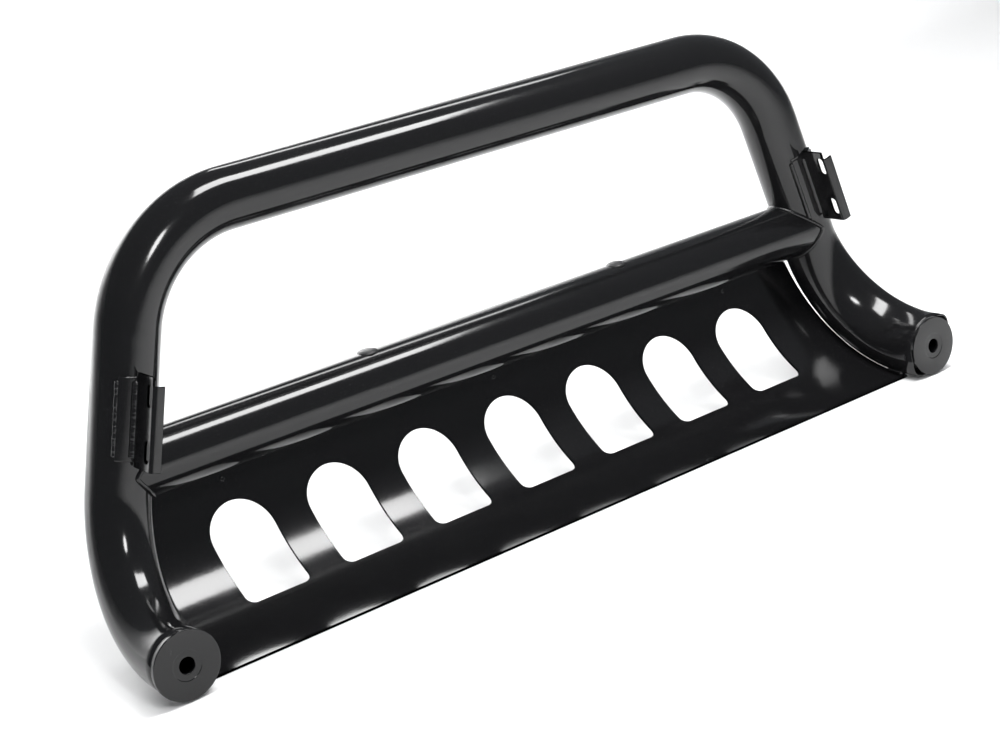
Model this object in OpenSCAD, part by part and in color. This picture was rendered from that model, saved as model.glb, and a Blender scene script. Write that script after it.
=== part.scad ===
// Front grille guard for a pickup truck: a bent tube hoop with a cross tube,
// a curved skid plate below it and a slotted bracket behind each upright.
// X runs along the vehicle's width, +Y points back towards the vehicle, +Z is up.

/* [Tubes] */
// Outside diameter of the hoop tube and the cross tube
tube_d = 76.2; // [60:0.1:90]
// Wall of both tubes
tube_wall = 2; // [1.5:0.1:4]
// Radius of every bend, at the tube's centre line
bend_r = 155; // [130:1:190]
// Half the width of the hoop where the top bar's and the upright's lines cross
top_half_w = 462; // [400:1:560]
// Outward lean of each upright
splay = 16; // [8:0.5:20]
// Height of the top bar above the tube ends, between centre lines
rise = 433; // [400:1:520]
// Straight length of tube behind each lower bend
end_straight = 17; // [12:1:60]
// Height of the cross tube's centre line above the centre of the lower bends
cross_above = 11; // [4:1:20]
// Gap between the cross tube's coped end and the hoop
cope_gap = 0.3; // [0.1:0.1:1]

/* [Skid plate] */
// Thickness of the sheet
plate_t = 3; // [2:0.5:5]
// Gap between the sheet and the tubes that it wraps
plate_gap = 0.5; // [0.2:0.1:1.5]
// Distance of the sheet's side edge inboard of the tube end's middle, at the floor
side_inset = 26; // [18:1:34]
// Lean of the sheet's side edges, less than the uprights' lean
side_lean = 12.4; // [8:0.1:16]
// Angle along the sheet's curve at its top edge
plate_top_a = 1; // [0:0.5:4]
// Angle along the sheet's curve at its bottom edge
plate_bottom_a = 88.2; // [82:0.1:89]
// Width of the step that clears the cross tube's weld at each top corner
corner_w = 72; // [60:1:120]
// Depth of that step
corner_drop = 40; // [30:1:44]
// Rise of the step's outer half, which stays below the weld
corner_rise = 14; // [4:1:20]

/* [Openings in the skid plate] */
// Number of openings
slot_count = 7; // [5:2:7]
// Distance between the centres of neighbouring openings
slot_pitch = 134; // [110:1:140]
// Width of an opening
slot_w = 85; // [60:1:95]
// Angle along the curve at the top of an opening
slot_top_a = 23; // [20:0.5:28]
// Angle along the curve at the bottom of an opening
slot_bottom_a = 61.7; // [52:0.1:66]
// Radius of the opening's bottom corners
slot_corner_r = 11; // [6:1:16]

/* [End caps] */
// Thickness of the cap on each tube end
cap_t = 5; // [3:0.5:8]
// Bolt hole in the cap
cap_hole_d = 19; // [15:0.5:22]
// Diameter of the cap, a little wider than the tube
cap_d = 80; // [78:0.5:84]
// Leg of the weld bead behind the cap's rim
cap_bead = 1.7; // [0.5:0.1:2]

/* [Upright brackets] */
// Distance of the bracket's middle below the top bar's centre line, along the upright
bracket_at = 210.5; // [200:0.5:214]
// Length of the slotted plate along the upright
tab_l = 105; // [96:1:108]
// Thickness of the slotted plate
tab_t = 3; // [2.5:0.5:5]
// Distance of the slotted plate outboard of the tube's centre plane
tab_offset = 4; // [0:0.5:8]
// Distance from the tube's centre line to the start of the plate's rear bend
tab_bend_y = 77; // [75:0.5:90]
// Inside radius of that bend
tab_bend_r = 2.5; // [1:0.5:4]
// Width of the bent lip, measured from the plate's far face
lip_w = 13; // [10:0.5:20]
// Length of lip cut away at its upper end
lip_cut = 10; // [4:1:14]
// Distance from the tube's centre line to the slots' centre line
tab_slot_y = 71.5; // [66:0.5:72]
// Distance between the two slots' centres
tab_slot_gap = 62; // [54:0.5:64]
// Length of a slot, end to end
tab_slot_l = 25; // [18:0.5:26]
// Width of a slot
tab_slot_w = 10; // [9:0.5:11]
// Length of the saddle along the upright
saddle_l = 94; // [85:1:95]
// Thickness of the saddle that hugs the tube
saddle_t = 4; // [3:0.5:6]
// Gap between the saddle and the tube
saddle_gap = 0.2; // [0.1:0.1:0.5]
// Angle of the saddle's outboard edge, from straight back
saddle_out_a = 36; // [30:1:45]
// Angle of the saddle's inboard edge, from straight back
saddle_in_a = 22; // [20:1:45]
// Leg of the weld bead between plate and saddle, on the outboard side
out_bead = 8; // [5:0.5:9]
// Leg of that bead on the inboard side
in_bead = 6; // [4:0.5:8]
// Width of the weld bead along each edge of the saddle
saddle_bead = 5; // [3:0.5:7]

/* [Light holes in the cross tube] */
// Distance between the two light holes
light_gap = 394; // [340:1:440]
// Diameter of a light hole
light_hole_d = 22; // [18:0.5:24]
// Diameter of the plug's head
plug_head_d = 26; // [24.5:0.5:30]
// Height of the plug's domed head
plug_head_h = 3; // [2:0.5:5]
// Length of the plug's body inside the tube
plug_body_l = 9; // [6:0.5:14]
// Gap between the plug's body and the hole
plug_gap = 0.3; // [0.2:0.1:0.5]

/* [Welds and studs] */
// Width of the faint ridge that the bender leaves at the end of each top bend
ridge_w = 4; // [2:0.5:5]
// Height of that ridge
ridge_h = 0.1; // [0.1:0.05:0.2]
// Size of the weld bead around each end of the cross tube
cross_bead = 4; // [3:0.5:6]
// Leg of the weld bead that fills the wedge at each bottom corner of the skid plate
corner_bead = 14; // [12:0.5:18]
// Angle along the plate's curve at which that bead starts
corner_weld_a = 79; // [70:1:84]
// Length of each stitch weld along the top of the skid plate
stitch_l = 40; // [25:1:60]
// Number of stitch welds
stitch_count = 5; // [3:2:5]
// Diameter of the weld spots on the skid plate
spot_d = 7; // [5:0.5:9]
// Height of a weld spot
spot_h = 1; // [0.6:0.1:1.5]

/* [Hidden] */
$fn = 96;
tube_r = tube_d / 2;
bore_r = tube_r - tube_wall;
// Half the gap that the ridge bridges between a top bend and its upright
bend_gap = 0.25;

// Heights and depths, with the sheet's lowest face at zero
end_z = plate_t + plate_gap + tube_r;
top_z = end_z + rise;
cross_z = end_z + bend_r + cross_above;
end_y = bend_r + end_straight;
back_y = end_y + cap_t;
front_y = -(tube_r + plate_gap + plate_t);
mid_y = (front_y + back_y) / 2;

// One upright and its two bends
upright_l = rise / cos(splay);
top_turn = 90 - splay;
top_setback = bend_r * tan(top_turn / 2);
straight_l = upright_l - top_setback - bend_r;
end_x = top_half_w + rise * tan(splay);
cross_x = top_half_w + (top_z - cross_z) * tan(splay);

// The skid plate's curve
plate_r = bend_r + tube_r + plate_gap;
plate_cz = end_z + bend_r;
plate_top_z = plate_cz - plate_r * sin(plate_top_a);

// Everything is drawn with the upright's plane at Y = 0, then centred on the origin
module placed() translate([0, -mid_y, 0]) children();

// The left side is drawn; side = -1 gives the right side
module on_side(side) placed() mirror([side < 0 ? 1 : 0, 0, 0]) children();

// From the crossing point of top bar and upright, -Z down the leaning upright,
// +X outboard and square to it
module along_upright() translate([top_half_w, 0, top_z]) rotate([0, -splay, 0]) children();

// Rod of radius r along one upright, its lower bend and the tube end; over
// lengthens the open end
module upright_rod(r, over = 0) along_upright() translate([0, 0, -top_setback - straight_l]) {
    // upright
    cylinder(r = r, h = straight_l - bend_gap);
    // lower bend
    translate([0, bend_r, 0]) {
        rotate([0, 90, 0]) rotate([0, 0, -90])
            rotate_extrude(angle = 90) translate([bend_r, 0]) circle(r = r);
        // tube end
        translate([0, 0, -bend_r]) rotate([-90, 0, 0]) cylinder(r = r, h = end_straight + over);
    }
}

// The same for the whole half hoop
module half_hoop(r, over = 0) {
    translate([top_half_w - top_setback, 0, top_z]) {
        // top bar
        rotate([0, -90, 0]) cylinder(r = r, h = top_half_w - top_setback);
        // top bend
        translate([0, 0, -bend_r]) rotate([-90, -90, 0])
            rotate_extrude(angle = top_turn - bend_gap / bend_r * 180 / PI)
                translate([bend_r, 0]) circle(r = r);
    }
    // ridge at the end of the top bend
    along_upright() translate([0, 0, -top_setback - ridge_w / 2]) cylinder(r = r + ridge_h, h = ridge_w);
    upright_rod(r, over);
}

module full_hoop(r, over = 0) {
    half_hoop(r, over);
    mirror([1, 0, 0]) half_hoop(r, over);
}

module main_hoop() color("#17181a") placed()
    difference() {
        full_hoop(tube_r);
        full_hoop(bore_r, 1);
    }

module cross_rod(r) translate([-cross_x, 0, cross_z]) rotate([0, 90, 0])
    cylinder(r = r, h = 2 * cross_x);

module light_holes(r) for (x = [-light_gap / 2, light_gap / 2])
    translate([x, 0, cross_z]) cylinder(r = r, h = tube_d);

module cross_tube() color("#17181a") placed()
    difference() {
        cross_rod(tube_r);
        cross_rod(bore_r);
        full_hoop(tube_r + cope_gap);
        light_holes(light_hole_d / 2);
    }

// Ring sector about the plate's curve centre: radii r1 to r2, angles a1 to a2
// measured from straight ahead down to the floor, from x1 to x2
module sector(r1, r2, a1, a2, x1, x2)
    translate([0, bend_r, plate_cz]) rotate([0, 90, 0]) rotate([0, 0, a1 - 90])
        rotate_extrude(angle = a2 - a1) translate([r1, x1]) square([r2 - r1, x2 - x1]);

module opening(x) {
    mid_a = (slot_top_a + slot_bottom_a) / 2;
    half_h = plate_r * sin((slot_bottom_a - slot_top_a) / 2);
    c = slot_corner_r;
    w = slot_w / 2;
    translate([x, bend_r, plate_cz]) rotate([90 + mid_a, 0, 0])
        translate([0, 0, plate_r - 30]) linear_extrude(60) {
            translate([0, half_h - w]) circle(r = w);
            translate([-w, c - half_h]) square([2 * w, 2 * half_h - w - c]);
            translate([c - w, -half_h]) square([2 * w - 2 * c, 2 * half_h - w]);
            for (s = [-1, 1]) translate([s * (w - c), c - half_h]) circle(r = c);
        }
}

// Half width of the sheet at height z
function side_x(z) = end_x - side_inset - z * tan(side_lean);

module plate_outline() {
    low = -5;
    shoulder = plate_top_z - corner_drop;
    right = [
        [side_x(low), low], [side_x(shoulder), shoulder],
        [side_x(shoulder) - corner_w / 2, shoulder + corner_rise],
        [side_x(shoulder) - corner_w, plate_top_z + 5]
    ];
    left = [for (i = [len(right) - 1 : -1 : 0]) [-right[i][0], right[i][1]]];
    polygon(concat(right, left));
}

module skid_plate() color("#141517") placed()
    difference() {
        intersection() {
            sector(plate_r, plate_r + plate_t, plate_top_a, plate_bottom_a, -end_x, end_x);
            translate([0, end_y, 0]) rotate([90, 0, 0]) linear_extrude(end_y - front_y + 5) plate_outline();
        }
        for (i = [0 : slot_count - 1]) opening((i - (slot_count - 1) / 2) * slot_pitch);
    }

// Along the tube end, +Z pointing back out of it
module at_tube_end() translate([end_x, end_y, end_z]) rotate([-90, 0, 0]) children();

module end_cap(side) color("#1b1c1e") on_side(side) at_tube_end()
    difference() {
        cylinder(d = cap_d, h = cap_t);
        translate([0, 0, -1]) cylinder(d = cap_hole_d, h = cap_t + 2);
    }

// Bead in the angle between the tube and the cap's rim
module cap_weld(side) color("#1f2022") on_side(side) at_tube_end()
    rotate_extrude() polygon([
        [tube_r + 0.05, -0.05], [tube_r + cap_bead, -0.05], [tube_r + 0.05, -0.05 - 1.5 * cap_bead]
    ]);

// Middle of the bracket, on the upright's centre line
module at_bracket() along_upright() translate([0, 0, -bracket_at]) children();

// Flat pie piece from angle a1 to a2, measured from straight back towards outboard
module pie(r, a1, a2) {
    steps = 8;
    polygon(concat([[0, 0]], [for (i = [0 : steps])
        let (a = a1 + (a2 - a1) * i / steps) [r * sin(a), r * cos(a)]]));
}

saddle_r1 = tube_r + saddle_gap;
saddle_r2 = saddle_r1 + saddle_t;

module saddle(side) color("#17181a") on_side(side) at_bracket()
    translate([0, 0, -saddle_l / 2]) linear_extrude(saddle_l)
        intersection() {
            difference() {
                circle(r = saddle_r2);
                circle(r = saddle_r1);
            }
            pie(2 * tube_d, -saddle_in_a, saddle_out_a);
        }

tab_x1 = tab_offset - tab_t / 2;
tab_x2 = tab_offset + tab_t / 2;
tab_foot_y = sqrt(pow(saddle_r2, 2) - pow(tab_x1, 2)) + saddle_gap;

// Slot through the plate, its middle at distance z up the upright
module tab_slot(z) {
    half = (tab_slot_l - tab_slot_w) / 2;
    for (s = [-1, 1]) translate([-tube_r, tab_slot_y, z + s * half])
        rotate([0, 90, 0]) cylinder(d = tab_slot_w, h = tube_d);
    translate([-tube_r, tab_slot_y - tab_slot_w / 2, z - half]) cube([tube_d, tab_slot_w, 2 * half]);
}

// Section of the bent lip, turning towards -X from a plate whose far face is at x = 0
module lip_profile() {
    steps = 6;
    r2 = tab_bend_r + tab_t;
    lip_end = [[-lip_w, r2], [-lip_w, tab_bend_r]];
    polygon(concat(
        [for (i = [0 : steps]) let (a = 90 * i / steps) [r2 * cos(a) - r2, r2 * sin(a)]],
        lip_end,
        [for (i = [steps : -1 : 0]) let (a = 90 * i / steps) [tab_bend_r * cos(a) - r2, tab_bend_r * sin(a)]]
    ));
}

// Both lips turn towards the same side of the vehicle, so the two plates are the same pressing
module bracket_plate(side) color("#17181a") on_side(side) at_bracket() {
    difference() {
        translate([tab_x1, tab_foot_y, -tab_l / 2]) cube([tab_t, tab_bend_y - tab_foot_y, tab_l]);
        for (s = [-1, 1]) tab_slot(s * tab_slot_gap / 2);
    }
    translate([tab_offset, tab_bend_y, -tab_l / 2]) mirror([side < 0 ? 1 : 0, 0, 0])
        translate([tab_t / 2, 0, 0]) linear_extrude(tab_l - lip_cut) lip_profile();
}

// Beads along the saddle's two long edges
module saddle_welds(side) color("#1f2022") on_side(side) at_bracket()
    translate([0, 0, -saddle_l / 2]) linear_extrude(saddle_l)
        for (a = [-saddle_in_a, saddle_out_a]) {
            r = saddle_r1 + saddle_t / 2;
            push = (a < 0 ? -1 : 1) * (saddle_bead / 2) / r * 180 / PI;
            difference() {
                translate([r * sin(a + push / 2), r * cos(a + push / 2)]) circle(d = saddle_bead);
                circle(r = saddle_r1);
                pie(2 * tube_d, a < 0 ? a : a - 40, a < 0 ? a + 40 : a);
            }
        }

// Fillets on both sides of the plate's foot
module bracket_welds(side) color("#1f2022") on_side(side) at_bracket()
    translate([0, 0, -saddle_l / 2]) linear_extrude(saddle_l)
        difference() {
            union() {
                polygon([[tab_x2, tube_r], [tab_x2 + out_bead, tube_r], [tab_x2, saddle_r2 + out_bead]]);
                polygon([[tab_x1, tube_r], [tab_x1 - in_bead, tube_r], [tab_x1, saddle_r2 + in_bead]]);
            }
            circle(r = saddle_r2);
        }

// Plastic plug that closes a light hole
module light_plug(side) color("#101112") on_side(side) translate([light_gap / 2, 0, cross_z]) {
    sag = tube_r - sqrt(pow(tube_r, 2) - pow(plug_head_d / 2, 2));
    dome_r = (pow(plug_head_d / 2, 2) + pow(plug_head_h, 2)) / (2 * plug_head_h);
    difference() {
        union() {
            // domed head, seated on the tube
            difference() {
                translate([0, 0, tube_r - sag]) cylinder(d = plug_head_d, h = sag + plug_head_h);
                rotate([0, 90, 0]) translate([0, 0, -plug_head_d])
                    cylinder(r = tube_r + plug_gap, h = 2 * plug_head_d);
            }
            translate([0, 0, tube_r - plug_body_l])
                cylinder(d = light_hole_d - 2 * plug_gap, h = plug_body_l + 1);
        }
        // rounded top edge
        difference() {
            translate([0, 0, tube_r]) cylinder(d = plug_head_d + 4, h = plug_head_h + 4);
            translate([0, 0, tube_r + plug_head_h - dome_r]) sphere(r = dome_r);
            translate([0, 0, tube_r - 1]) cylinder(d = plug_head_d - 6, h = plug_head_h + 1);
        }
    }
}

// Bead in the angle between the cross tube and the upright
module cross_weld(side) color("#1f2022") on_side(side)
    difference() {
        intersection() {
            upright_rod(tube_r + cross_bead);
            translate([0, 0, cross_z]) rotate([0, 90, 0])
                cylinder(r = tube_r + cross_bead - 0.4, h = cross_x);
            // stops short of the sheet in front
            translate([0, -tube_r + 2, 0]) cube([end_x, 2 * tube_d, top_z]);
        }
        upright_rod(tube_r + 0.1);
        translate([0, 0, cross_z]) rotate([0, 90, 0]) cylinder(r = tube_r + 0.4, h = cross_x + tube_d);
    }

// Bead in the wedge between the skid plate's bottom corner and the tube
module corner_weld(side) color("#1f2022") on_side(side) {
    edge = side_x(plate_t) - 1;
    difference() {
        translate([0, bend_r, plate_cz]) rotate([0, 90, 0]) rotate([0, 0, corner_weld_a - 90])
            rotate_extrude(angle = plate_bottom_a - corner_weld_a) polygon([
                [plate_r - 0.1, edge - corner_bead / 4], [plate_r - 0.1, edge + corner_bead / 2],
                [plate_r - corner_bead, edge - corner_bead / 4]
            ]);
        upright_rod(tube_r + 0.1);
    }
}

// Stitch welds between the plate's top edge and the front of the cross tube
module plate_stitch_welds() color("#1f2022") placed()
    for (i = [0 : stitch_count - 1]) {
        x = (i - (stitch_count - 1) / 2) * 2 * slot_pitch * 0.8;
        difference() {
            translate([x - stitch_l / 2, -(tube_r + plate_gap) + 1, plate_top_z]) rotate([0, 90, 0])
                cylinder(r = plate_t, h = stitch_l);
            cross_rod(tube_r + 0.1);
            sector(plate_r - 1, plate_r + plate_t + 6, plate_top_a, plate_top_a + 10, -end_x, end_x);
        }
    }

// Weld spots on the plate's rear face, above the first, middle and last opening
module plate_weld_spots() color("#2a2b2d") placed()
    for (i = [-1, 0, 1])
        translate([i * slot_pitch * (slot_count - 1) / 2, bend_r, plate_cz])
            rotate([0, 90, 0]) rotate([0, 0, slot_top_a - 8 - 90]) translate([plate_r - spot_h - 0.05, 0, 0])
                rotate([0, 90, 0]) cylinder(d1 = spot_d - 2 * spot_h, d2 = spot_d, h = spot_h);

main_hoop();
cross_tube();
skid_plate();
end_cap(1);  // left_end_cap
end_cap(-1);  // right_end_cap
saddle(1);  // left_saddle
saddle(-1);  // right_saddle
bracket_plate(1);  // left_bracket_plate
bracket_plate(-1);  // right_bracket_plate
light_plug(1);  // left_light_plug
light_plug(-1);  // right_light_plug
cross_weld(1);  // left_cross_weld
cross_weld(-1);  // right_cross_weld
cap_weld(1);  // left_cap_weld
cap_weld(-1);  // right_cap_weld
saddle_welds(1);  // left_saddle_welds
saddle_welds(-1);  // right_saddle_welds
bracket_welds(1);  // left_bracket_welds
bracket_welds(-1);  // right_bracket_welds
corner_weld(1);  // left_corner_weld
corner_weld(-1);  // right_corner_weld
plate_stitch_welds();
plate_weld_spots();
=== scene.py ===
"""Front grille guard: hoop, cross tube, skid plate, capped ends and slotted rear brackets.

Lengths below are millimetres in the row frame and become metres when a mesh is made.
X is the vehicle's width, +Y points back towards the vehicle, +Z is up.
"""
import math

import bpy
from mathutils import Matrix, Vector, geometry, noise


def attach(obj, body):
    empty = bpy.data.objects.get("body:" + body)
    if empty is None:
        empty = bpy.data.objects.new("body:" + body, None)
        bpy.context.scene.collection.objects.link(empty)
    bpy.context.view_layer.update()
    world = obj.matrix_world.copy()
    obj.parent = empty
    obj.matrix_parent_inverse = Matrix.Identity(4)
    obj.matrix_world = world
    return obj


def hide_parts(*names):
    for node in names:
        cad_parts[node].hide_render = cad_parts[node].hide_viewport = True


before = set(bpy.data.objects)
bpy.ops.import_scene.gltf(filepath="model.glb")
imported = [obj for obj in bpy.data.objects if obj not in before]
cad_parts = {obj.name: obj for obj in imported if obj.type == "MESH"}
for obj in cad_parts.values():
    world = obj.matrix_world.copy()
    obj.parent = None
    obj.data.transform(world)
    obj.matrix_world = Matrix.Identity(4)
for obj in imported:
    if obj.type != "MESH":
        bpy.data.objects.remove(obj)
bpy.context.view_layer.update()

MM = 0.001
X = Vector((1, 0, 0))
Y = Vector((0, 1, 0))
Z = Vector((0, 0, 1))

# ---- camera ----
LENS = 72.5
CAMERA_AT = Vector((1.38481, 1.92825, 0.91447))
CAMERA_RIGHT = Vector((-0.78727, 0.598285, -0.149199))
CAMERA_BACK = Vector((0.541053, 0.786332, 0.298232))


def make_camera():
    data = bpy.data.cameras.new("camera")
    data.lens = LENS
    data.sensor_width = 36
    data.clip_start = 0.05
    data.clip_end = 60
    camera = bpy.data.objects.new("camera", data)
    up = CAMERA_BACK.cross(CAMERA_RIGHT).normalized()
    right = up.cross(CAMERA_BACK).normalized()
    turn = Matrix((right, up, CAMERA_BACK.normalized())).transposed()
    camera.matrix_world = Matrix.Translation(CAMERA_AT) @ turn.to_4x4()
    bpy.context.collection.objects.link(camera)
    bpy.context.scene.camera = camera


make_camera()

# ---- sizes ----
TUBE_R = 38.1
WALL = 2.0
BEND_R = 155.0
HALF_W = 462.0          # crossing of the top bar's and the upright's lines
SPLAY = math.radians(16)
RISE = 433.0
END_STRAIGHT = 17.0
CROSS_H = 166.0
LIGHT_GAP = 394.0       # between the two light holes in the cross tube
PLATE_T = 3.0
PLATE_GAP = 0.5
CAP_T = 5.0
CAP_R = 40.0
CAP_HOLE_R = 9.5
END_Z = PLATE_T + PLATE_GAP + TUBE_R
TOP_Z = END_Z + RISE
CROSS_Z = END_Z + CROSS_H
END_Y = BEND_R + END_STRAIGHT
MID_Y = (END_Y + CAP_T - TUBE_R - PLATE_GAP - PLATE_T) / 2
TURN = math.pi / 2 - SPLAY
SETBACK = BEND_R * math.tan(TURN / 2)
UPRIGHT = RISE / math.cos(SPLAY)
DOWN = Vector((math.sin(SPLAY), 0, -math.cos(SPLAY)))
OUT = Vector((math.cos(SPLAY), 0, math.sin(SPLAY)))
CORNER = Vector((HALF_W, -MID_Y, TOP_Z))
CROSS_AT = Vector((0, -MID_Y, CROSS_Z))
CURVE_AT = Vector((0, BEND_R - MID_Y, END_Z + BEND_R))
SHEET_R = BEND_R + TUBE_R + PLATE_GAP
TUBE_END = Vector((HALF_W + RISE * math.tan(SPLAY), END_Y - MID_Y, END_Z))


# ---- materials ----
class Nodes:
    """Small helper that adds and links shader nodes."""

    def __init__(self, name):
        self.material = bpy.data.materials.new(name)
        self.material.use_nodes = True
        self.tree = self.material.node_tree
        self.shader = self.tree.nodes["Principled BSDF"]
        self.place = self.add("ShaderNodeTexCoord").outputs["Object"]

    def add(self, kind, **values):
        node = self.tree.nodes.new(kind)
        for key, value in values.items():
            setattr(node, key, value)
        return node

    def link(self, output, node, socket):
        self.tree.links.new(output, node.inputs[socket])

    def noise(self, scale, detail=2.0, roughness=0.5):
        node = self.add("ShaderNodeTexNoise")
        node.inputs["Scale"].default_value = scale
        node.inputs["Detail"].default_value = detail
        node.inputs["Roughness"].default_value = roughness
        self.link(self.place, node, "Vector")
        return node.outputs["Fac"]

    def ranged(self, value, low, high, to_low, to_high):
        node = self.add("ShaderNodeMapRange")
        limits = {"From Min": low, "From Max": high, "To Min": to_low, "To Max": to_high}
        for key, number in limits.items():
            node.inputs[key].default_value = number
        self.link(value, node, "Value")
        return node.outputs["Result"]

    def bump(self, height, strength, distance, below=None):
        node = self.add("ShaderNodeBump")
        node.inputs["Strength"].default_value = strength
        node.inputs["Distance"].default_value = distance
        self.link(height, node, "Height")
        if below:
            self.link(below, node, "Normal")
        return node.outputs["Normal"]


def powder_coat(name, colour, rough, peel=0.03, coat=0.05):
    """Gloss black coating: orange peel, slow changes of gloss and a few pale dust specks."""
    n = Nodes(name)
    specks = n.ranged(n.noise(900, 1), 0.74, 0.80, 0, 1)
    mix = n.add("ShaderNodeMix", data_type="RGBA")
    mix.inputs["A"].default_value = (*colour, 1)
    mix.inputs["B"].default_value = (0.06, 0.06, 0.06, 1)
    n.link(specks, mix, "Factor")
    n.link(mix.outputs["Result"], n.shader, "Base Color")
    n.link(n.ranged(n.noise(9, 3), 0.3, 0.7, rough * 0.8, rough * 1.25), n.shader, "Roughness")
    fine = n.bump(n.noise(420, 2), peel, 0.0004)
    broad = n.bump(n.noise(60, 2), peel * 1.5, 0.001, fine)
    n.link(broad, n.shader, "Normal")
    n.shader.inputs["IOR"].default_value = 1.46
    n.shader.inputs["Coat Weight"].default_value = coat
    n.shader.inputs["Coat Roughness"].default_value = rough * 0.5
    return n.material


def moulded_plastic(name, colour):
    """Satin plastic with a fine grain."""
    n = Nodes(name)
    n.shader.inputs["Base Color"].default_value = (*colour, 1)
    n.link(n.ranged(n.noise(300, 2), 0.3, 0.7, 0.36, 0.5), n.shader, "Roughness")
    n.link(n.bump(n.noise(1500, 2), 0.08, 0.0003), n.shader, "Normal")
    return n.material


BLACK = powder_coat("gloss_black", (0.0065, 0.0065, 0.007), 0.12)
WELD = powder_coat("weld_bead", (0.008, 0.008, 0.0085), 0.2, peel=0.12)
PLASTIC = moulded_plastic("plug_plastic", (0.012, 0.012, 0.013))


# ---- mesh tools ----
def piece(name, points, faces, material, nodes, smooth=True, normals=None):
    """A visible piece made from points in millimetres that stands for the named CAD nodes."""
    mesh = bpy.data.meshes.new(name)
    mesh.from_pydata([Vector(p) * MM for p in points], [], faces)
    mesh.update()
    for polygon in mesh.polygons:
        polygon.use_smooth = smooth
    if normals:
        mesh.normals_split_custom_set_from_vertices([Vector(n).normalized() for n in normals])
    mesh.materials.append(material)
    obj = bpy.data.objects.new(name, mesh)
    bpy.context.collection.objects.link(obj)
    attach(obj, "root")
    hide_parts(*nodes)
    return obj


def grid_faces(rows, columns, close_rows=False, close_columns=True, start=0):
    """Quads between rows of points; each row has the given number of columns."""
    faces = []
    for i in range(rows if close_rows else rows - 1):
        for j in range(columns if close_columns else columns - 1):
            a, b = i * columns, (i + 1) % rows * columns
            k = (j + 1) % columns
            faces.append((start + a + j, start + a + k, start + b + k, start + b + j))
    return faces


def across(v):
    """The same point or direction on the other side of the vehicle's middle."""
    return Vector((-v[0], v[1], v[2]))


def mirror(side, points, faces):
    """The same points on the left (side 1) or the right (side -1)."""
    if side > 0:
        return points, faces
    return [across(p) for p in points], [tuple(reversed(f)) for f in faces]


def span(a, b, step):
    """Evenly spaced numbers from a to b, no further apart than step."""
    count = max(1, math.ceil(abs(b - a) / step))
    return [a + (b - a) * i / count for i in range(count + 1)]


STRAIGHT_STEP = 12.0    # between rings on the top bar
UPRIGHT_STEP = 8.0      # between rings on an upright
BEND_STEP = math.radians(1.6)
MARK_H, MARK_W = 0.1, 3.0   # the bender's mark where a top bend ends


def bend_mark(distance):
    """Height of the bender's mark at this distance from its middle."""
    return MARK_H * math.exp(-(distance / MARK_W) ** 2)


def half_path():
    """Stations of the hoop's left half: centre, two radial directions and the radius change."""
    bar = span(0, HALF_W - SETBACK, STRAIGHT_STEP)[:-1]
    stations = [(Vector((x, -MID_Y, TOP_Z)), Y, Z, 0) for x in bar]
    centre = Vector((HALF_W - SETBACK, -MID_Y, TOP_Z - BEND_R))
    for a in span(0, TURN, BEND_STEP):
        radial = Vector((math.sin(a), 0, math.cos(a)))
        mark = bend_mark((TURN - a) * BEND_R)
        stations.append((centre + BEND_R * radial, Y, radial, mark))
    for t in span(SETBACK, UPRIGHT - BEND_R, UPRIGHT_STEP)[1:-1]:
        stations.append((CORNER + t * DOWN, Y, OUT, bend_mark(t - SETBACK)))
    turn = CORNER + (UPRIGHT - BEND_R) * DOWN + BEND_R * Y
    for b in span(0, math.pi / 2, BEND_STEP):
        inward = math.cos(b) * Y - math.sin(b) * DOWN
        stations.append((turn - BEND_R * inward, inward, OUT, 0))
    stations.append((TUBE_END, -DOWN, OUT, 0))
    return stations


def hoop_path():
    half = half_path()
    other = [(across(centre), u, across(v), mark) for centre, u, v, mark in half[1:]]
    return other[::-1] + half


def ring(centre, u, v, radius, count):
    return [centre + radius * (math.cos(a) * u + math.sin(a) * v)
            for a in (2 * math.pi * k / count for k in range(count))]


def make_hoop():
    """One bent tube with its bore, open at both ends behind the caps."""
    count = 112
    path = hoop_path()
    points = []
    for centre, u, v, mark in path:
        points += ring(centre, u, v, TUBE_R + mark, count)
    for centre, u, v, mark in reversed(path):
        points += ring(centre, u, v, TUBE_R - WALL, count)
    faces = grid_faces(2 * len(path), count, close_rows=True)
    piece("hoop_tube", points, faces, BLACK, ["main_hoop"])


def cross_end(angle, radius, gap):
    """Where a line along the cross tube at this angle meets the leaning upright."""
    y, z = radius * math.cos(angle), CROSS_Z + radius * math.sin(angle)
    axis = HALF_W + (TOP_Z - z) * math.tan(SPLAY)
    reach = max(0.0, (TUBE_R + gap) ** 2 - y * y)
    return Vector((axis - math.sqrt(reach) / math.cos(SPLAY), y - MID_Y, z))


def make_cross_tube():
    """Tube whose ends are coped to the uprights."""
    count, rows = 144, 61
    points = []
    for row in range(rows):
        share = 2 * row / (rows - 1) - 1
        for k in range(count):
            end = cross_end(2 * math.pi * k / count, TUBE_R, 0.2)
            points.append(Vector((end[0] * share, end[1], end[2])))
    faces = grid_faces(rows, count)
    piece("cross_tube_body", points, faces, BLACK, ["cross_tube"])


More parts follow.
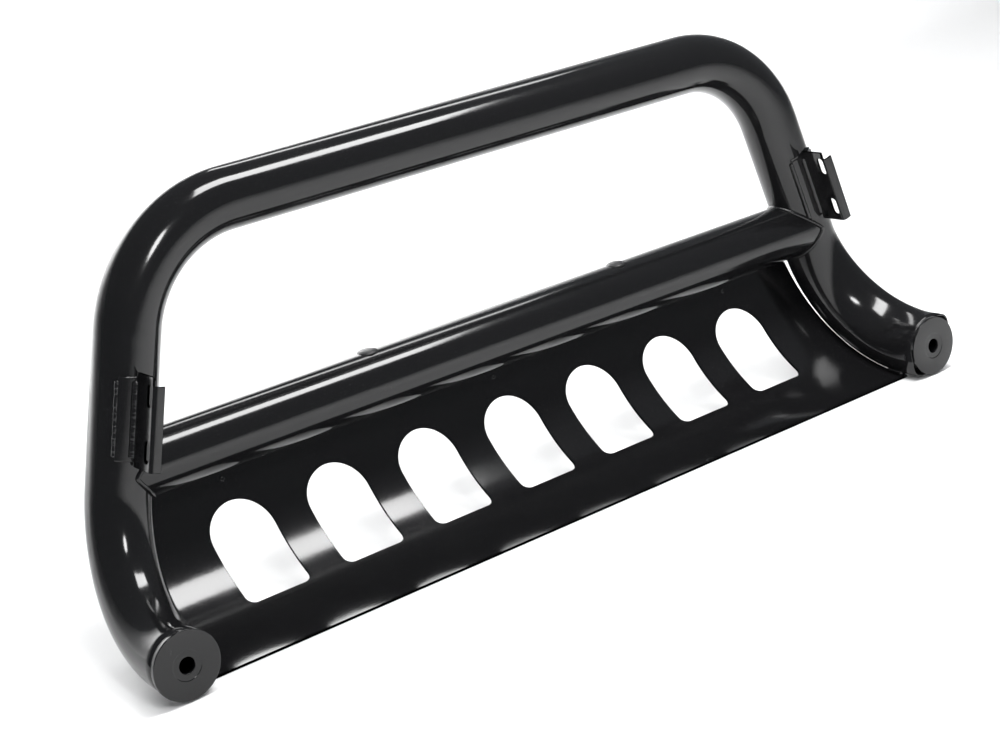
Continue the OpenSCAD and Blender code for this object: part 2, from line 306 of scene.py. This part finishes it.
def bead(name, path, lift, radius, nodes, closed=False, ripple=3.6, depth=1.0, rough=0.08, side=1,
         more=None):
    """Weld bead along a path, in metal that solidified ripple by ripple.

    lift gives the way out of the corner at each point. ripple is the length of one ripple,
    depth scales its height, rough scales the bead's uneven width, and more adds other runs.
    """
    count = 14
    runs = [(path, lift)] + (more or [])
    points, faces = [], []
    for run, ups in runs:
        start, travelled, rows = len(points), 0.0, len(run)
        for i, centre in enumerate(run):
            ahead = run[(i + 1) % rows] if closed else run[min(i + 1, rows - 1)]
            behind = run[i - 1] if closed or i else run[0]
            along = (ahead - behind).normalized()
            u = (ups[i] - ups[i].dot(along) * along).normalized()
            v = along.cross(u)
            phase = travelled / ripple % 1.0
            waver = noise.noise(centre * 0.11) + 0.5 * noise.noise(centre * 0.31)
            swell = 1 + depth * (0.13 * (1 - phase) ** 0.5 - 0.07) + rough * waver
            if not closed:
                rim = min(i, rows - 1 - i) / 3
                swell *= min(1.0, 0.35 + 0.65 * math.sqrt(min(1.0, rim)))
            size = radius * swell
            for k in range(count):
                a = 2 * math.pi * k / count
                points.append(centre + size * (math.cos(a) * u + math.sin(a) * v))
            travelled += (ahead - centre).length
        faces += grid_faces(rows, count, close_rows=closed, start=start)
        if not closed:
            faces.append(tuple(start + k for k in range(count)))
            faces.append(tuple(start + (rows - 1) * count + k for k in reversed(range(count))))
    points, faces = mirror(side, points, faces)
    return piece(name, points, faces, WELD, nodes)


def loop_normals(loop, sign):
    """Unit normals of a closed 2-D loop, pointing out of the sheet's material."""
    result = []
    for i, point in enumerate(loop):
        ahead = (loop[(i + 1) % len(loop)] - point).normalized()
        behind = (point - loop[i - 1]).normalized()
        turn = ahead + behind
        turn = turn.normalized() if turn.length > 1e-6 else ahead
        half = max(0.5, turn.dot(ahead))
        result.append((Vector((turn.y, -turn.x)) * sign, 1 / half))
    return result


def inside(point, loop):
    """True where a 2-D point lies inside a closed loop."""
    hit = False
    for i, a in enumerate(loop):
        b = loop[i - 1]
        if (a.y > point.y) != (b.y > point.y):
            if point.x < (b.x - a.x) * (point.y - a.y) / (b.y - a.y) + a.x:
                hit = not hit
    return hit


def densify(corners, step):
    """Closed loop through the corners with points no further apart than step."""
    loop = []
    for i, a in enumerate(corners):
        b = corners[(i + 1) % len(corners)]
        parts = max(1, math.ceil((b - a).length / step))
        loop += [a.lerp(b, k / parts) for k in range(parts)]
    return loop


def sheet(name, outline, holes, thickness, place, grid, nodes, edge=0.6, side=1, back_first=False):
    """Sheet metal: an unrolled outline with holes, rounded edges, folded by place(u, v, depth).

    place returns the point and the sheet's normal on the face at depth 0.
    """
    loops = [outline] + holes
    rims = [(loop, loop_normals(loop, 1)) for loop in loops]
    inner = [[p - n * m * edge for p, (n, m) in zip(loop, normals)] for loop, normals in rims]
    flat = [p for loop in inner for p in loop]
    edges, start = [], 0
    for loop in inner:
        edges += [(start + i, start + (i + 1) % len(loop)) for i in range(len(loop))]
        start += len(loop)
    low = Vector((min(p.x for p in outline), min(p.y for p in outline)))
    high = Vector((max(p.x for p in outline), max(p.y for p in outline)))
    for i in range(1, max(2, round((high.x - low.x) / grid[0]))):
        for j in range(1, max(2, round((high.y - low.y) / grid[1]))):
            p = Vector((low.x + i * grid[0], low.y + j * grid[1]))
            if inside(p, inner[0]) and not any(inside(p, hole) for hole in inner[1:]):
                near = min(((p - q).length for q in flat[:start]), default=9)
                if near > 0.45 * min(grid):
                    flat.append(p)
    verts, _, triangles, *_ = geometry.delaunay_2d_cdt(flat, edges, [], 0, 1e-5)
    keep = []
    for t in triangles:
        middle = sum((verts[i] for i in t), Vector((0, 0))) / 3
        if inside(middle, inner[0]) and not any(inside(middle, hole) for hole in inner[1:]):
            keep.append(t)
    points, normals, faces = [], [], []
    for depth, way in ((0, 1), (thickness, -1)):
        base = len(points)
        for p in verts:
            at, normal = place(p.x, p.y, depth)
            points.append(at)
            normals.append(normal * way)
        faces += [tuple(base + i for i in (t if way > 0 else reversed(t))) for t in keep]
    turns = [math.radians(a) for a in (0, 30, 60, 90)]
    rows = [(edge * (1 - math.sin(a)), edge * (1 - math.cos(a)), a) for a in turns]
    rows += [(i, thickness - d, math.pi - a) for i, d, a in reversed(rows)]
    for loop, outs in rims:
        base = len(points)
        for inset, depth, a in rows:
            for p, (n, m) in zip(loop, outs):
                q = p - n * m * inset
                at, normal = place(q.x, q.y, depth)
                ahead, _ = place(q.x + n.x, q.y + n.y, depth)
                points.append(at)
                normals.append(math.cos(a) * normal + math.sin(a) * (ahead - at).normalized())
        faces += grid_faces(len(rows), len(loop), start=base)
    if back_first:
        faces = [tuple(reversed(f)) for f in faces]
    if side < 0:
        points, faces = mirror(-1, points, faces)
        normals = [across(n) for n in normals]
    return piece(name, points, faces, BLACK, nodes, normals=normals)


# ---- skid plate ----
SIDE_INSET = 26.0
SIDE_LEAN = math.radians(12.4)
PLATE_TOP = math.radians(1)
PLATE_BOTTOM = math.radians(88.2)
CORNER_W, CORNER_DROP, CORNER_RISE = 72.0, 40.0, 14.0
CORNER_TOP_SHARE = 0.94     # share of the step's width that is left at the plate's top edge
SLOTS, SLOT_PITCH, SLOT_W = 7, 134.0, 85.0
SLOT_TOP, SLOT_BOTTOM, SLOT_CORNER = math.radians(23), math.radians(61.7), 11.0
OUTER_R = SHEET_R + PLATE_T


def side_x(z):
    return TUBE_END.x - SIDE_INSET - z * math.tan(SIDE_LEAN)


def angle_at(z):
    """Angle round the plate's curve at height z."""
    return math.asin(min(1.0, (CURVE_AT.z - z) / SHEET_R))


def plate_place(x, run, depth):
    """Point on the plate; run is the distance up its outer face from the lowest line."""
    a = math.pi / 2 - run / OUTER_R
    radial = Vector((0, -math.cos(a), -math.sin(a)))
    return CURVE_AT + Vector((x, 0, 0)) + (OUTER_R - depth) * radial, radial


def make_plate():
    run = lambda a: (math.pi / 2 - a) * OUTER_R
    top = CURVE_AT.z - SHEET_R * math.sin(PLATE_TOP)
    shoulder = top - CORNER_DROP
    right = [(side_x(CURVE_AT.z - SHEET_R * math.sin(a)), run(a))
             for a in span(PLATE_BOTTOM, angle_at(shoulder), math.radians(3))]
    step = [(side_x(shoulder) - CORNER_W / 2, shoulder + CORNER_RISE),
            (side_x(shoulder) - CORNER_W * CORNER_TOP_SHARE, top)]
    right += [(x, run(angle_at(z))) for x, z in step]
    half = [Vector(p) for p in right]
    corners = half + [Vector((-p.x, p.y)) for p in reversed(half)]
    outline = densify(corners, 8)
    middle = (SLOT_TOP + SLOT_BOTTOM) / 2
    half_h = SHEET_R * math.sin((SLOT_BOTTOM - SLOT_TOP) / 2)
    w, c = SLOT_W / 2, SLOT_CORNER
    arcs = [(0, half_h - w, w, 0, 180), (c - w, c - half_h, c, 180, 270),
            (w - c, c - half_h, c, 270, 360)]
    holes = []
    for i in range(SLOTS):
        middle_x = (i - (SLOTS - 1) / 2) * SLOT_PITCH
        shape = []
        for cx, cy, r, a1, a2 in arcs:
            for a in span(a1, a2, 5):
                px = cx + r * math.cos(math.radians(a))
                py = cy + r * math.sin(math.radians(a))
                turn = middle - math.asin(py / (SHEET_R + PLATE_T / 2))
                shape.append(Vector((middle_x + px, run(turn))))
        holes.append(densify(shape, 6)[::-1])
    sheet("skid_plate_sheet", outline, holes, PLATE_T, plate_place, (11, 7), ["skid_plate"])


# ---- brackets ----
BRACKET_AT = 210.5
TAB_L, TAB_T, TAB_OFFSET = 105.0, 3.0, 4.0
TAB_BEND_Y, TAB_BEND_R, LIP_W, LIP_CUT = 77.0, 2.5, 13.0, 10.0
TAB_SLOT_Y, TAB_SLOT_GAP, TAB_SLOT_L, TAB_SLOT_W = 71.5, 62.0, 25.0, 10.0
SADDLE_L, SADDLE_T = 94.0, 4.0
SADDLE_R1 = TUBE_R + 0.2
SADDLE_R2 = SADDLE_R1 + SADDLE_T
SADDLE_OUT, SADDLE_IN = math.radians(36), math.radians(22)


def at_bracket(out, back, up):
    """Point beside one upright, from its centre line at the bracket's middle."""
    return CORNER + BRACKET_AT * DOWN + out * OUT + back * Y - up * DOWN


def make_bracket(side, name):
    """Slotted plate with its bent lip; both lips turn towards -X."""
    bend = (TAB_BEND_R + TAB_T) * math.pi / 2
    foot = math.sqrt(SADDLE_R2 ** 2 - (TAB_OFFSET + TAB_T / 2) ** 2)
    web, lip = TAB_BEND_Y - foot, LIP_W - TAB_BEND_R - TAB_T
    lip_way = -1 if side > 0 else 1
    face_x = TAB_OFFSET - lip_way * TAB_T / 2
    bend_x = face_x + lip_way * (TAB_T + TAB_BEND_R)

    def place(u, v, depth):
        if u <= web:
            return at_bracket(face_x + lip_way * depth, foot + u, v), -lip_way * OUT
        turned = min(1.0, (u - web) / bend) * math.pi / 2
        along = max(0.0, u - web - bend)
        normal = -lip_way * math.cos(turned) * OUT + math.sin(turned) * Y
        reach = TAB_BEND_R + TAB_T - depth
        centre = at_bracket(bend_x + lip_way * along, TAB_BEND_Y, v)
        return centre + reach * normal, normal

    half = TAB_L / 2
    edge_u = web + bend + lip
    notch = web + bend * 0.15
    outline = [Vector(p) for p in ((0, -half), (edge_u, -half), (edge_u, half - LIP_CUT),
                                   (notch, half - LIP_CUT), (notch, half), (0, half))]
    outline = densify(outline, 2.2)
    holes = []
    for way in (-1, 1):
        shape = []
        for end in (1, -1):
            middle = way * TAB_SLOT_GAP / 2 + end * (TAB_SLOT_L - TAB_SLOT_W) / 2
            for a in span(0, 180, 12):
                turn = math.radians(a + (0 if end > 0 else 180))
                shape.append(Vector((TAB_SLOT_Y - foot + TAB_SLOT_W / 2 * math.cos(turn),
                                     middle + TAB_SLOT_W / 2 * math.sin(turn))))
        holes.append(densify(shape, 3)[::-1])
    sheet(name + "_slotted_plate", outline, holes, TAB_T, place, (1.6, 5),
          [name + "_bracket_plate"], edge=0.5, side=side, back_first=lip_way > 0)


def make_saddle(side, name):
    """Curved pad between the tube and the slotted plate."""
    e = 0.8
    profile = [(SADDLE_R1, 0), (SADDLE_R2 - e, 0), (SADDLE_R2 - 0.3 * e, 0.3 * e), (SADDLE_R2, e)]
    steps = 26
    cross = []
    for r, inset in profile:
        cross.append((r, -SADDLE_IN + inset / r))
    for k in range(1, steps):
        cross.append((SADDLE_R2, -SADDLE_IN + (SADDLE_OUT + SADDLE_IN) * k / steps))
    for r, inset in reversed(profile):
        cross.append((r, SADDLE_OUT - inset / r))
    for k in range(steps - 1, 0, -1):
        cross.append((SADDLE_R1, -SADDLE_IN + (SADDLE_OUT + SADDLE_IN) * k / steps))
    half = SADDLE_L / 2
    levels = [(-half, e), (-half + 0.3 * e, 0.3 * e), (-half + e, 0)]
    levels += [(v, 0) for v in span(-half + 2 * e, half - 2 * e, 10)]
    levels += [(half - e, 0), (half - 0.3 * e, 0.3 * e), (half, e)]
    points = []
    for v, inset in levels:
        for r, a in cross:
            reach = min(r, SADDLE_R2 - inset)
            points.append(at_bracket(reach * math.sin(a), reach * math.cos(a), v))
    count = len(cross)
    faces = grid_faces(len(levels), count)
    faces.append(tuple(range(count)))
    faces.append(tuple((len(levels) - 1) * count + k for k in reversed(range(count))))
    points, faces = mirror(side, points, faces)
    return piece(name + "_saddle_pad", points, faces, BLACK, [name + "_saddle"])


def make_bracket_welds(side, name):
    half = SADDLE_L / 2 - 4
    runs = []
    corners = ((TAB_OFFSET + TAB_T / 2 + 1.6, SADDLE_R2 + 0.1, 0.9),
               (TAB_OFFSET - TAB_T / 2 - 1.4, SADDLE_R2 + 0.3, -0.8))
    for out, back, way in corners:
        path = [at_bracket(out, back, v) for v in span(-half, half, 0.6)]
        runs.append((path, [way * OUT + Y] * len(path)))
    bead(name + "_bracket_root_beads", *runs[0], 4.6, [name + "_bracket_welds"], side=side,
         more=runs[1:], depth=0.1, rough=0.08)
    runs = []
    for a, push in ((SADDLE_OUT, 0.035), (-SADDLE_IN, -0.035)):
        way = Vector((math.sin(a + push), math.cos(a + push)))
        path = [at_bracket(way.x * 39.8, way.y * 39.8, v) for v in span(-half, half, 0.6)]
        runs.append((path, [way.x * OUT + way.y * Y] * len(path)))
    bead(name + "_saddle_edge_beads", *runs[0], 3.0, [name + "_saddle_welds"], side=side,
         more=runs[1:], ripple=7, depth=0.7, rough=0.15)


# ---- turned parts ----
def turned(name, profile, centre, u, v, axis, material, slot, nodes, side=1, count=96):
    """Profile of (radius, distance along the axis) turned round the axis."""
    points = []
    for r, h in profile:
        points += ring(centre + h * axis, u, v, r, count)
    faces = grid_faces(len(profile), count, close_rows=True)
    points, faces = mirror(side, points, faces)
    piece(name, points, faces, material, nodes)


def rounded(profile, r, steps=4):
    """Rounds every corner of a closed profile with a small radius."""
    result = []
    corners = [Vector(p) for p in profile]
    for i, p in enumerate(corners):
        to_last = corners[i - 1] - p
        to_next = corners[(i + 1) % len(corners)] - p
        cut = min(r, to_last.length / 2.1, to_next.length / 2.1)
        start, end = p + to_last.normalized() * cut, p + to_next.normalized() * cut
        for k in range(steps + 1):
            t = k / steps
            result.append(start * (1 - t) ** 2 + p * 2 * t * (1 - t) + end * t ** 2)
    return result


def make_cap(side, name):
    """End cap: a thick disc with a bolt hole and a shallow seat round it."""
    seat_r, seat = 17.0, 0.6
    profile = rounded([(CAP_HOLE_R, 0), (CAP_R, 0), (CAP_R, CAP_T), (seat_r + seat, CAP_T),
                       (seat_r, CAP_T - seat), (CAP_HOLE_R, CAP_T - seat)], 0.9)
    turned(name + "_cap_disc", profile, TUBE_END, X, -Z, Y, BLACK, "gloss_black",
           [name + "_end_cap"], side)
    path, ups = [], []
    for k in range(200):
        a = 2 * math.pi * k / 200
        way = math.cos(a) * X + math.sin(a) * Z
        path.append(TUBE_END + (TUBE_R + 0.1) * way - 0.9 * Y)
        ups.append(way)
    bead(name + "_cap_bead", path, ups, 1.5, [name + "_cap_weld"], closed=True, ripple=2.4,
         side=side)


def make_plug(side, name):
    """Domed push-in plug over a light hole."""
    head_r, head_h, body_r, body_l, drop = 13.0, 3.0, 10.7, 9.0, 1.6
    dome = [(head_r * math.sin(a), TUBE_R - drop + 0.7 + (head_h + drop - 0.7) * math.cos(a))
            for a in span(0.02, math.pi / 2, math.radians(6))]
    rim = TUBE_R - drop - 0.6
    profile = dome + [(head_r, rim), (body_r, rim), (body_r, TUBE_R - body_l),
                      (0.3, TUBE_R - body_l)]
    centre = CROSS_AT + Vector((LIGHT_GAP / 2, 0, 0))
    turned(name + "_plug_button", profile, centre, X, Y, Z, PLASTIC, "plug_plastic",
           [name + "_light_plug"], side, count=64)


def make_seams(side, name):
    """Beads round the cross tube's end and along the plate's lower corner."""
    path, ups = [], []
    for k in range(420):
        a = 2 * math.pi * k / 420
        at = cross_end(a, TUBE_R + 0.3, 0.4)
        around = Vector((0, math.cos(a), math.sin(a)))
        axis = CORNER + DOWN * ((TOP_Z - at.z) / math.cos(SPLAY))
        away = at - axis
        away = (away - away.dot(DOWN) * DOWN).normalized()
        path.append(at)
        ups.append((around + away).normalized())
    bead(name + "_cross_bead", path, ups, 2.7, [name + "_cross_weld"], closed=True, side=side)
    path, ups = [], []
    for a in span(math.radians(79.5), PLATE_BOTTOM - 0.015, 0.0035):
        radial = Vector((0, -math.cos(a), -math.sin(a)))
        path.append(CURVE_AT + Vector((side_x(PLATE_T) - 4, 0, 0)) + (SHEET_R - 3.6) * radial)
        ups.append(-radial)
    bead(name + "_corner_bead", path, ups, 5.4, [name + "_corner_weld"], side=side, ripple=5)


def make_plate_welds():
    """Stitch beads along the plate's top edge and three weld spots on its rear face."""
    runs = []
    top = CURVE_AT - SHEET_R * Vector((0, math.cos(PLATE_TOP), math.sin(PLATE_TOP)))
    for i in range(-2, 3):
        middle = i * 2 * SLOT_PITCH * 0.8
        path = [Vector((x, top.y + 0.6, top.z + 0.9)) for x in span(middle - 19, middle + 19, 0.6)]
        runs.append((path, [Vector((0, -0.5, 1))] * len(path)))
    bead("plate_stitch_beads", *runs[0], 2.1, ["plate_stitch_welds"], more=runs[1:])
    points, faces = [], []
    a = SLOT_TOP - math.radians(8)
    radial = Vector((0, -math.cos(a), -math.sin(a)))
    across = X.cross(radial)
    count = 40
    for i in (-1, 0, 1):
        centre = CURVE_AT + Vector((i * SLOT_PITCH * 3, 0, 0)) + (SHEET_R + 0.3) * radial
        start = len(points)
        rings = [(3.5, 0), (3.3, 0.7), (2.6, 1.1), (1.7, 0.95), (0.9, 0.8), (0.1, 0.75)]
        for r, h in rings:
            points += ring(centre - h * radial, X, across, r, count)
        faces += grid_faces(len(rings), count, start=start)
        faces.append(tuple(start + k for k in reversed(range(count))))
        faces.append(tuple(start + (len(rings) - 1) * count + k for k in range(count)))
    piece("plate_spot_beads", points, faces, WELD, ["plate_weld_spots"])


make_hoop()
make_cross_tube()
make_plate()
for side, name in ((1, "left"), (-1, "right")):
    make_saddle(side, name)
    make_bracket(side, name)
    make_bracket_welds(side, name)
    make_cap(side, name)
    make_plug(side, name)
    make_seams(side, name)
make_plate_welds()


# ---- floor and light ----
def stage_material(name, colour, roughness):
    n = Nodes(name)
    shade = n.ranged(n.noise(1.5, 2), 0.3, 0.7, colour * 0.985, colour)
    n.link(shade, n.shader, "Base Color")
    n.shader.inputs["Roughness"].default_value = roughness
    n.shader.inputs["Specular IOR Level"].default_value = 0.1
    return n.material


def make_stage():
    """Pale floor that curves up into a backdrop in front of the guard."""
    near, depth, width, curve, height = 3.5, 3.0, 9.0, 1.2, 4.0
    profile = [(near, 0)]
    profile += [(-depth - curve * math.sin(a), curve * (1 - math.cos(a)))
                for a in span(0, math.pi / 2, math.radians(4))]
    profile.append((-depth - curve, height))
    points = [(x, y, z - 0.0004) for y, z in profile for x in (-width, width)]
    faces = [(2 * i, 2 * i + 1, 2 * i + 3, 2 * i + 2) for i in range(len(profile) - 1)]
    mesh = bpy.data.meshes.new("floor")
    mesh.from_pydata(points, [], faces)
    for polygon in mesh.polygons:
        polygon.use_smooth = True
    mesh.materials.append(stage_material("pale_floor", 0.9, 0.9))
    floor = bpy.data.objects.new("floor", mesh)
    bpy.context.collection.objects.link(floor)


def area_light(name, at, aim, size, power, glossy=True, shape="RECTANGLE"):
    """Soft light at one place, turned to face another; size in metres."""
    data = bpy.data.lights.new(name, "AREA")
    data.shape = shape
    data.size, data.size_y = size
    data.energy = power
    light = bpy.data.objects.new(name, data)
    light.location = at
    light.rotation_euler = (Vector(aim) - Vector(at)).to_track_quat("-Z", "Y").to_euler()
    light.visible_glossy = glossy
    bpy.context.collection.objects.link(light)
    return light


make_stage()
area_light("key_overhead", (0.2, 0.3, 3.2), (0, 0, 0), (2.6, 2.6), 39, glossy=False)
area_light("fill_front", (0, -2.2, 2.6), (0, -0.5, 0), (4.0, 1.5), 33, glossy=False)
area_light("fill_backdrop", (0, -3.0, 2.4), (0.2, -6.0, 0.6), (5.0, 1.5), 400, glossy=False)
area_light("fill_back", (1.0, 3.0, 2.4), (0, 0, 0), (3.0, 1.6), 10, glossy=False)
area_light("softbox_over", (-0.36, 0.5, 1.8), (-0.36, 0.5, 0), (1.15, 0.5), 36)
area_light("strip_front", (-0.7, -0.85, 1.72), (-0.4, -0.3, 0), (1.0, 0.2), 5)
area_light("softbox_near", (0.72, 1.45, 1.3), (0, 0, 0.2), (0.3, 0.5), 10, shape="ELLIPSE")

world = bpy.data.worlds.new("studio")
world.use_nodes = True
world.node_tree.nodes["Background"].inputs["Color"].default_value = (0.9, 0.95, 1.0, 1)
world.node_tree.nodes["Background"].inputs["Strength"].default_value = 0.17
bpy.context.scene.world = world
bpy.context.scene.view_settings.view_transform = "Standard"
